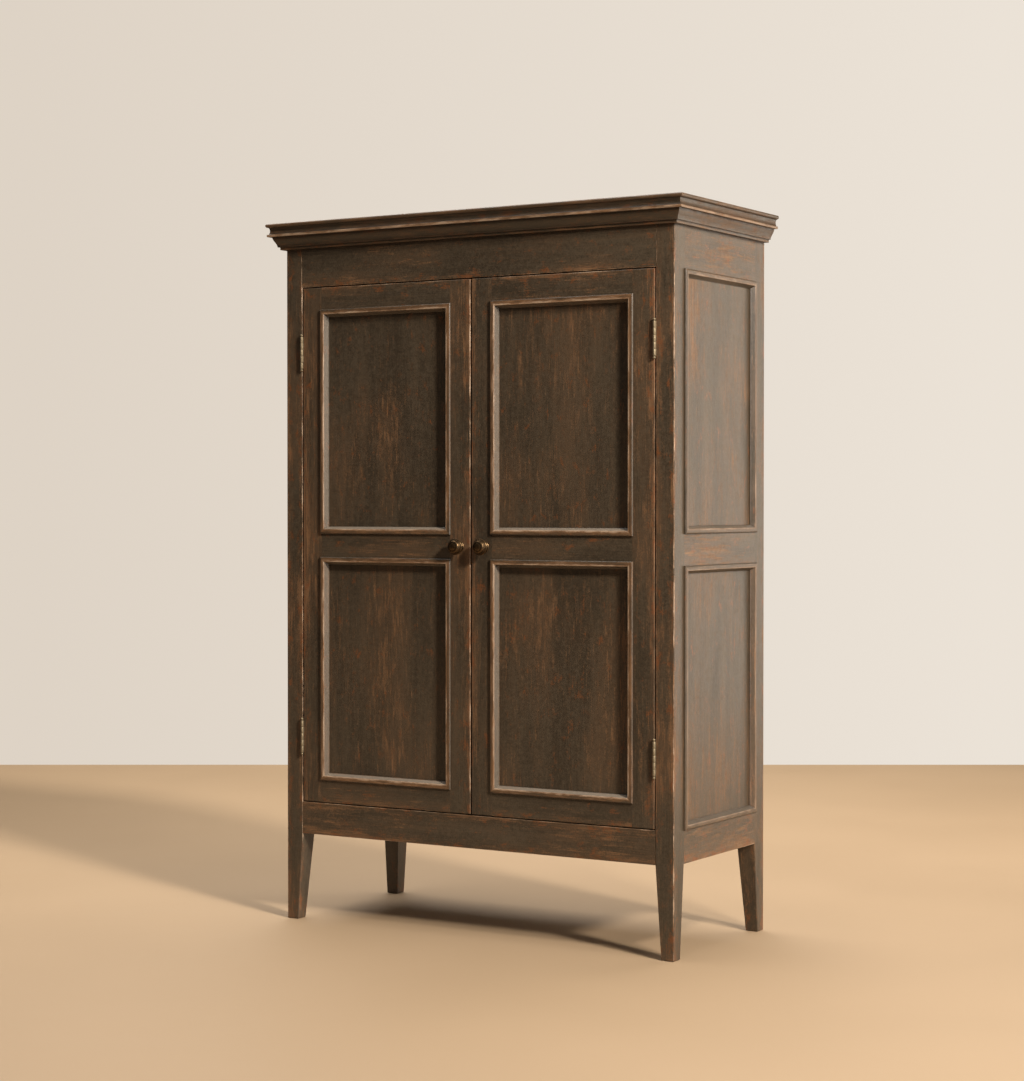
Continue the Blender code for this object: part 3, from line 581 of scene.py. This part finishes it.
def knob_profile():
    """Rosette, neck and mushroom head, from the door face out: points and (rub, hollow) marks."""
    plain, groove, crest = (0.3, 0.15), (0.0, 1.0), (0.9, 0.0)
    profile = [((0.0, GAP), plain), ((0.0160, GAP), groove), ((0.0167, 0.0008), plain)]
    profile += [((0.0167, 0.0020), crest), ((0.0159, 0.0029), plain), ((0.0144, 0.0031), groove)]
    profile += [((0.0138, 0.0038), plain)]
    profile += [((0.0132, 0.0048), crest), ((0.0120, 0.0054), plain), ((0.0100, 0.0058), groove)]
    profile += [((0.0080, 0.0070), plain), ((0.0074, 0.0086), plain), ((0.0090, 0.0100), plain)]
    profile += [((0.0110, 0.0106), groove), ((0.0150, 0.0116), plain), ((0.0182, 0.0132), plain)]
    for i, point in enumerate(arc((0.0188, 0.0162), 0.0022, -70, 80, 6)):
        profile.append((point, crest if 1 < i < 5 else plain))
    profile += [((0.0186, 0.0187), groove), ((0.0181, 0.0196), plain), ((0.0176, 0.0208), crest)]
    dome_radius, dome_start = 0.0176, 0.0210
    ring_cuts, ring_crests = (3, 7), (2, 4, 6, 8)
    for i in range(1, 12):
        turn = math.radians(90.0 * i / 12)
        mark = groove if i in ring_cuts else crest if i in ring_crests else plain
        height = dome_start + (KNOB_TOP - dome_start) * math.sin(turn) - (0.0006 if i in ring_cuts else 0.0)
        profile.append(((dome_radius * math.cos(turn), height), mark))
    profile.append(((0.0, KNOB_TOP), crest))
    return profile


def bolt_profile():
    """The knob's bolt on the back of the door: a washer and a domed head, points and (rub, hollow) marks."""
    profile = [((0.0, GAP), (0, 0)), ((0.0070, GAP), (0, 1)), ((0.0070, 0.0010), (1, 0))]
    profile.append(((0.0046, 0.0012), (0, 1)))
    for degrees in (0, 20, 40, 60, 80):
        turn = math.radians(degrees)
        profile.append(((0.0042 * math.cos(turn), 0.0012 + 0.0024 * math.sin(turn)), (0.8, 0)))
    profile.append(((0.0, 0.0036), (1, 0)))
    return profile


def knobs():
    """A knob on the front of each door's meeting stile and the head of its bolt behind."""
    for side in ("left", "right"):
        node = f"{side}_door_knob"
        low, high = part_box(node)
        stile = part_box(f"{side}_door_meeting_stile")
        middle = ((low.x + high.x) / 2, stile[0].y, (low.z + high.z) / 2)
        mesh = turned(node + "_turned", knob_profile(), 48, facing(middle, (0, -1, 0)))
        metal = aged_metal(node, KNOB_BRASS, KNOB_DARK, 0.18, 0.66, (0.38, 0.54))
        new_piece(node + "_turned", mesh, f"door_{side}", metal, [node])

        name = f"{side}_door_knob_bolt"
        mesh = turned(name, bolt_profile(), 24, facing((middle[0], stile[1].y, middle[2]), (0, 1, 0)))
        new_piece(name, mesh, f"door_{side}", aged_metal(name, STEEL, STEEL_DARK, 0.3, 0.6))


def screw(name, point, direction, radius):
    """A slotted countersunk screw head lying in a surface."""
    place = facing(point, direction)
    profile = [((0.0, 0.0), (0, 1)), ((radius, 0.0), (0, 1)), ((radius, radius * 0.10), (1, 0))]
    profile += [((radius * 0.92, radius * 0.16), (1, 0)), ((0.0, radius * 0.22), (0.6, 0))]
    head = turned(name, profile, 24, place)
    body = bpy.data.objects.new(name + "_head", head)
    cutter_mesh = bpy.data.meshes.new(name + "_slot")
    slot = bmesh.new()
    bmesh.ops.create_cube(slot, size=1.0)
    across = Matrix.Diagonal((radius * 1.7, radius * 0.26, radius * 0.24, 1.0))
    turn = Matrix.Rotation(random.Random(name).uniform(0.0, math.pi), 4, "Z")
    lift = Matrix.Translation((0.0, 0.0, radius * 0.22))
    bmesh.ops.transform(slot, matrix=place @ turn @ lift @ across, verts=slot.verts)
    slot.to_mesh(cutter_mesh)
    slot.free()
    cutter = bpy.data.objects.new(name + "_slot", cutter_mesh)
    for thing in (body, cutter):
        bpy.context.scene.collection.objects.link(thing)
    cut = body.modifiers.new("slot", "BOOLEAN")
    cut.operation = "DIFFERENCE"
    cut.object = cutter
    depsgraph = bpy.context.evaluated_depsgraph_get()
    result = bpy.data.meshes.new_from_object(body.evaluated_get(depsgraph))
    for thing in (body, cutter):
        bpy.data.objects.remove(thing)
    return result


def hinges():
    """Five-knuckle butt hinges: two leaves with their knuckles and screws, and a ball-tipped pin."""
    for side, out in (("left", -1), ("right", 1)):
        for level in ("lower", "upper"):
            hinge = f"{side}_{level}_hinge_"
            pin_low, pin_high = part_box(hinge + "pin")
            axis = (pin_low + pin_high) / 2
            for leaf, first, body in (("case_leaf", 0, "case"), ("door_leaf", 1, f"door_{side}")):
                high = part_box(hinge + leaf)[1]
                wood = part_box(f"front_{side}_post" if leaf == "case_leaf" else f"{side}_door_hinge_stile")
                into = out if leaf == "case_leaf" else -out
                face = wood[0].x if into > 0 else wood[1].x
                hinge_leaf(hinge + leaf, face, into, (wood[0].y, high.y), axis, first, body)
            pin(hinge + "pin", axis, pin_high.z - pin_low.z)


def box_mesh(name, low, high, bevel):
    """A box between two corners with its edges eased."""
    shape = bmesh.new()
    bmesh.ops.create_cube(shape, size=1.0)
    low, high = Vector(low), Vector(high)
    place = Matrix.LocRotScale((low + high) / 2, None, high - low)
    bmesh.ops.transform(shape, matrix=place, verts=shape.verts)
    bmesh.ops.bevel(shape, geom=shape.edges, offset=bevel, segments=2, profile=0.5, affect="EDGES")
    mesh = bpy.data.meshes.new(name)
    shape.to_mesh(mesh)
    shape.free()
    mesh.shade_smooth()
    return mesh


def hinge_leaf(node, face, into, depth, axis, first, body):
    """A leaf let into the wood's face, its knuckles round the pin, and its three screws.

    into is +1 or -1, the way along x that the leaf goes into the wood; depth is its front and back along y.
    """
    front, back = depth
    rim = BARREL_RADIUS - 0.0001
    sunk = face + into * PLATE_THICKNESS
    plate_low = (min(face, sunk), front, axis.z - HINGE_HEIGHT / 2)
    plate_high = (max(face, sunk), back, axis.z + HINGE_HEIGHT / 2)
    meshes = [box_mesh(node + "_plate", plate_low, plate_high, 0.0003)]
    pitch = HINGE_HEIGHT / KNUCKLES
    for knuckle in range(first, KNUCKLES, 2):
        bottom = axis.z - HINGE_HEIGHT / 2 + knuckle * pitch
        length = pitch - GAP
        lower = [((0.0, 0.0), (0, 0.6)), ((rim, 0.0), (0.5, 0.4)), ((BARREL_RADIUS, 0.0002), (1, 0.0))]
        profile = lower + [((radius, length - height), mark) for (radius, height), mark in reversed(lower)]
        place = Matrix.Translation((axis.x, axis.y, bottom))
        meshes.append(turned(f"{node}_knuckle_{knuckle}", profile, 28, place))
        neck_low = (plate_low[0], axis.y, bottom + 0.0002)
        neck_high = (plate_high[0], front + 0.0010, bottom + length - 0.0002)
        meshes.append(box_mesh(f"{node}_neck_{knuckle}", neck_low, neck_high, 0.0002))
    for height in (-0.30, 0.0, 0.30):
        stagger = 0.0055 if height == 0.0 else -0.0015
        point = (face, (front + back) / 2 + stagger, axis.z + height * HINGE_HEIGHT)
        meshes.append(screw(f"{node}_screw_{height}", point, (-into, 0, 0), 0.0030))
    metal = aged_metal(node, HINGE_BRASS, HINGE_DARK, 0.15, 0.65, (0.66, 0.74))
    new_piece(node + "_fine", joined(node + "_fine", meshes), body, metal, [node])


def pin(node, axis, length):
    """A pin with a ball tip at each end."""
    ball = PIN_TIP_RADIUS
    half = length / 2
    lower = [((0.0, -half), (0.6, 0.0))]
    for turn in range(20, 150, 18):
        angle = math.radians(turn)
        lower.append(((ball * math.sin(angle), -half + ball * (1 - math.cos(angle))), (0.6, 0.0)))
    lower.append(((PIN_NECK_RADIUS, -half + ball * 1.95), (0.0, 1.0)))
    profile = lower + [((radius, -height), mark) for (radius, height), mark in reversed(lower)]
    mesh = turned(node + "_fine", profile, 24, Matrix.Translation(axis))
    metal = aged_metal(node, HINGE_BRASS, HINGE_DARK, 0.15, 0.65, (0.66, 0.74))
    new_piece(node + "_fine", mesh, "case", metal, [node])


def strikes():
    """The catch's strike plate on the back of each door, with its two screws."""
    low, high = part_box("door_catch")
    half_width, height, from_screw = 0.011, 0.020, 0.0065
    for side, out in (("left", -1), ("right", 1)):
        stile_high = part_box(f"{side}_door_meeting_stile")[1]
        middle_x = out * (high.x - low.x) / 4
        back, face = stile_high.y + 0.0001, stile_high.y + 0.0013
        top = stile_high.z - 0.004
        name = f"{side}_door_strike_plate"
        plate_low = (middle_x - half_width, back, top - height)
        meshes = [box_mesh(name, plate_low, (middle_x + half_width, face, top), 0.0004)]
        for x in (middle_x - from_screw, middle_x + from_screw):
            meshes.append(screw(f"{name}_{x:.4f}", (x, face, top - height / 2), (0, 1, 0), 0.0024))
        metal = aged_metal(name, STEEL, STEEL_DARK, 0.3, 0.6, (0.35, 0.5))
        new_piece(name, joined(name, meshes), f"door_{side}", metal)


def back_nails():
    """Round nail heads along the edges of the back panel."""
    low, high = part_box("back_panel")
    inset, pitch = 0.006, 0.160
    profile = [((0.0, 0.0), (0, 0)), ((0.0024, 0.0), (0, 1)), ((0.0022, 0.0005), (1, 0))]
    profile.append(((0.0, 0.0008), (1, 0)))
    tall, wide = high.z - low.z - 2 * inset, high.x - low.x - 2 * inset
    spots = []
    rows = int(tall / pitch)
    for i in range(rows + 1):
        z = low.z + inset + tall * i / rows
        spots += [(low.x + inset, z), (high.x - inset, z)]
    columns = int(wide / pitch)
    for i in range(1, columns):
        x = low.x + inset + wide * i / columns
        spots += [(x, low.z + inset), (x, high.z - inset)]
    meshes = []
    for i, (x, z) in enumerate(spots):
        meshes.append(turned(f"nail_{i}", profile, 12, facing((x, high.y, z), (0, 1, 0))))
    metal = aged_metal("back_panel_nails", STEEL, STEEL_DARK, 0.3, 0.6)
    new_piece("back_panel_nails", joined("back_panel_nails", meshes), "case", metal)


# ------------------------------------------------------------------ flat boards
def close_joints(node, low, high, material):
    """A copy of a side rail whose shoulders close the hairline gap to the posts, as paint fills it.

    low and high are where the posts' faces stand along y.
    """
    mesh = NODES[node].data.copy()
    mesh.name = node + "_closed"
    for vert in mesh.vertices:
        for face, closed in ((low + GAP, low), (high - GAP, high)):
            if abs(vert.co.y - face) < GAP / 3:
                vert.co.y = closed
    mesh.materials.clear()
    new_piece(node + "_closed", mesh, "case", material, [node])


def set_material(node, material):
    """Give a CAD node that shows as it is its finish."""
    piece = NODES[node]
    piece.data.materials.clear()
    piece.data.materials.append(material)


def case_side(side, out):
    """The posts, rails and panels of one side of the case; out is the way along x that it faces."""
    front_low, front_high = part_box(f"front_{side}_post")
    rear_low, rear_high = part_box(f"rear_{side}_post")
    outer, inner = (front_low.x, front_high.x) if out < 0 else (front_high.x, front_low.x)
    for end, face, wear in (("front", front_low.y, 1.1), ("rear", rear_high.y, 0.9)):
        post = f"{end}_{side}_post"
        edges = [edge(x=outer, y=face), edge(x=inner, y=face)]
        set_material(post, painted(post, "z", edges, wear, foot=True))
    for rail in ("bottom", "mid", "top"):
        name = f"{side}_side_{rail}_rail"
        edges = [edge(x=outer, z=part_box(name)[0].z)] if rail == "bottom" else []
        lining = ("X", outer - out * RAIL_PAINT_DEPTH, -out)
        rub = 0.025 if rail == "mid" else 0.045
        paint = painted(name, "y", edges, 0.8, rub=rub, inner=lining)
        close_joints(name, front_high.y, rear_low.y, paint)
    for level in ("lower", "upper"):
        name = f"{side}_side_{level}_panel"
        low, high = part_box(name)
        lining = ("X", (low.x if out > 0 else high.x) + out * PANEL_LINING, -out)
        set_material(name, painted(name, "z", rub=0.02, inner=lining))


def door_boards(side):
    """The stiles, rails and panels of one door."""
    door = f"{side}_door_"
    for stile in ("hinge_stile", "meeting_stile"):
        low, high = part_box(door + stile)
        at_left = (stile == "hinge_stile") == (side == "left")
        x = low.x if at_left else high.x
        edges = [edge(x=x, y=low.y), edge(x=x, y=high.y)]
        # the pale worn line is stronger on the left door's meeting stile; there it is partly painted
        # highlight, for that edge lit in the gap between the doors
        wear = 1.0 if (side, stile) == ("left", "meeting_stile") else 0.45
        set_material(door + stile, painted(door + stile, "z", edges, wear, 0.012))
    for rail in ("bottom", "mid", "top"):
        name = f"{door}{rail}_rail"
        low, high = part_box(name)
        edges = []
        if rail != "mid":
            z = low.z if rail == "bottom" else high.z
            edges = [edge(y=low.y, z=z), edge(y=high.y, z=z)]
        set_material(name, painted(name, "x", edges, 0.8))
    for level in ("lower", "upper"):
        name = f"{door}{level}_panel"
        set_material(name, painted(name, "z", rub=0.012))


def boards():
    """Give each flat board of the case and the doors its own finish."""
    for side, out in (("left", -1), ("right", 1)):
        case_side(side, out)
        door_boards(side)
    low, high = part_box("apron_rail")
    edges = [edge(y=low.y, z=low.z), edge(y=low.y, z=high.z)]
    set_material("apron_rail", painted("apron_rail", "x", edges, 0.7))
    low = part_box("frieze_rail")[0]
    set_material("frieze_rail", painted("frieze_rail", "x", [edge(y=low.y, z=low.z)], 0.8))
    set_material("top_board", painted("top_board", "x"))
    set_material("bottom_board", stained("bottom_board", "x"))
    set_material("back_panel", stained("back_panel", "z"))
    for name in ("door_catch", "hanging_rod"):
        set_material(name, aged_metal(name, STEEL, STEEL_DARK, 0.35, 0.65, (0.35, 0.55)))


# ------------------------------------------------------------------ studio
def aim(thing, target):
    """Turn a lamp so that it shines at a point."""
    thing.rotation_euler = (Vector(target) - thing.location).to_track_quat("-Z", "Y").to_euler()


def softbox(name, place, target, size, watts, colour):
    """A rectangular lamp that lights the piece and isn't seen itself."""
    lamp = bpy.data.lights.new(name, "AREA")
    lamp.shape = "RECTANGLE"
    lamp.size, lamp.size_y = size
    lamp.energy = watts
    lamp.color = colour
    holder = bpy.data.objects.new(name, lamp)
    holder.location = place
    holder.visible_camera = False
    bpy.context.scene.collection.objects.link(holder)
    aim(holder, target)


def view():
    """The camera, in front of the piece and to its right."""
    camera = bpy.data.objects.new("camera", bpy.data.cameras.new("camera"))
    angle = math.radians(EYE_AZIMUTH)
    camera.location = (EYE_DISTANCE * math.sin(angle), -EYE_DISTANCE * math.cos(angle), EYE_HEIGHT)
    camera.rotation_euler = (math.radians(90.0 + LOOK_TILT), 0.0, math.radians(LOOK_TURN))
    camera.data.lens = LENS
    camera.data.sensor_width = SENSOR
    bpy.context.scene.collection.objects.link(camera)
    bpy.context.scene.camera = camera
    bpy.context.scene.view_settings.view_transform = "Standard"


def floor():
    """A pale floor with hardly any pattern."""
    graph = Graph("floor_plain")
    place = graph.node("ShaderNodeTexCoord").outputs["Object"]
    cloud = graph.noise(place, (1.4, 1.4, 1.4), 3.0, 0.5)
    lighter = tuple(c * 1.06 for c in FLOOR)
    graph.finish(graph.mix(cloud, FLOOR, lighter), graph.step(cloud, 0.3, 0.7, 0.55, 0.62))
    shape = bmesh.new()
    bmesh.ops.create_grid(shape, x_segments=1, y_segments=1, size=FLOOR_HALF_SIZE)
    mesh = bpy.data.meshes.new("floor")
    shape.to_mesh(mesh)
    shape.free()
    ground = bpy.data.objects.new("floor", mesh)
    ground.rotation_euler.z = math.radians(LOOK_TURN)
    ground.location.z = -0.0005
    mesh.materials.append(graph.material)
    bpy.context.scene.collection.objects.link(ground)


def backdrop():
    """The wall's colour where the camera sees past the floor, and a faint light from all round."""
    world = bpy.data.worlds.new("studio")
    world.use_nodes = True
    tree = world.node_tree
    wall = tree.nodes["Background"]
    direction = tree.nodes.new("ShaderNodeTexCoord")
    to_right = tree.nodes.new("ShaderNodeVectorMath")
    to_right.operation = "DOT_PRODUCT"
    turn = math.radians(LOOK_TURN)
    to_right.inputs[1].default_value = (math.cos(turn), math.sin(turn), 0.0)
    spread = tree.nodes.new("ShaderNodeMapRange")
    spread.inputs["From Min"].default_value = -0.2
    spread.inputs["From Max"].default_value = 0.2
    shade = tree.nodes.new("ShaderNodeMix")
    shade.data_type = "RGBA"
    # painted shade and light on the wall: darker to the left, lighter to the right
    shade.inputs[6].default_value = (*WALL_SHADED_LEFT, 1.0)
    shade.inputs[7].default_value = (*WALL_LIT_RIGHT, 1.0)
    tree.links.new(direction.outputs["Generated"], to_right.inputs[0])
    tree.links.new(to_right.outputs["Value"], spread.inputs["Value"])
    tree.links.new(spread.outputs["Result"], shade.inputs["Factor"])
    tree.links.new(shade.outputs[2], wall.inputs["Color"])
    ambient = tree.nodes.new("ShaderNodeBackground")
    ambient.inputs["Color"].default_value = AMBIENT_LIGHT
    ambient.inputs["Strength"].default_value = 0.045
    seen = tree.nodes.new("ShaderNodeLightPath")
    choose = tree.nodes.new("ShaderNodeMixShader")
    tree.links.new(seen.outputs["Is Camera Ray"], choose.inputs[0])
    tree.links.new(ambient.outputs[0], choose.inputs[1])
    tree.links.new(wall.outputs[0], choose.inputs[2])
    tree.links.new(choose.outputs[0], tree.nodes["World Output"].inputs["Surface"])
    bpy.context.scene.world = world


def lamps():
    """A warm key from the front right, softer lamps round it and a large one overhead."""
    sun = bpy.data.lights.new("key", "SUN")
    sun.energy = 3.6
    sun.angle = math.radians(6.0)
    sun.color = KEY_LIGHT
    holder = bpy.data.objects.new("key", sun)
    holder.location = KEY_PLACE
    bpy.context.scene.collection.objects.link(holder)
    aim(holder, LAMP_TARGET)
    softbox("near_key", KEY_PLACE, LAMP_TARGET, (0.35, 0.35), 75.0, KEY_LIGHT)
    softbox("side_sheen", (2.15, 3.15, 1.30), (0.57, 0.0, 1.0), (1.8, 2.5), 38.0, (1.0, 0.88, 0.74))
    softbox("right_wall", (4.40, -1.10, 1.20), LAMP_TARGET, (1.6, 2.4), 60.0, WALL_LIGHT)
    softbox("crest_light", (-1.10, -1.20, 4.50), LAMP_TARGET, (1.5, 1.0), 40.0, WALL_LIGHT)
    softbox("overhead", (-1.20, 1.90, 4.50), (-0.6, 1.90, 0.0), (5.0, 5.0), 340.0, (1.0, 0.95, 0.88))


def main():
    boards()
    mouldings()
    crowns()
    knobs()
    hinges()
    strikes()
    back_nails()
    view()
    floor()
    backdrop()
    lamps()


main()
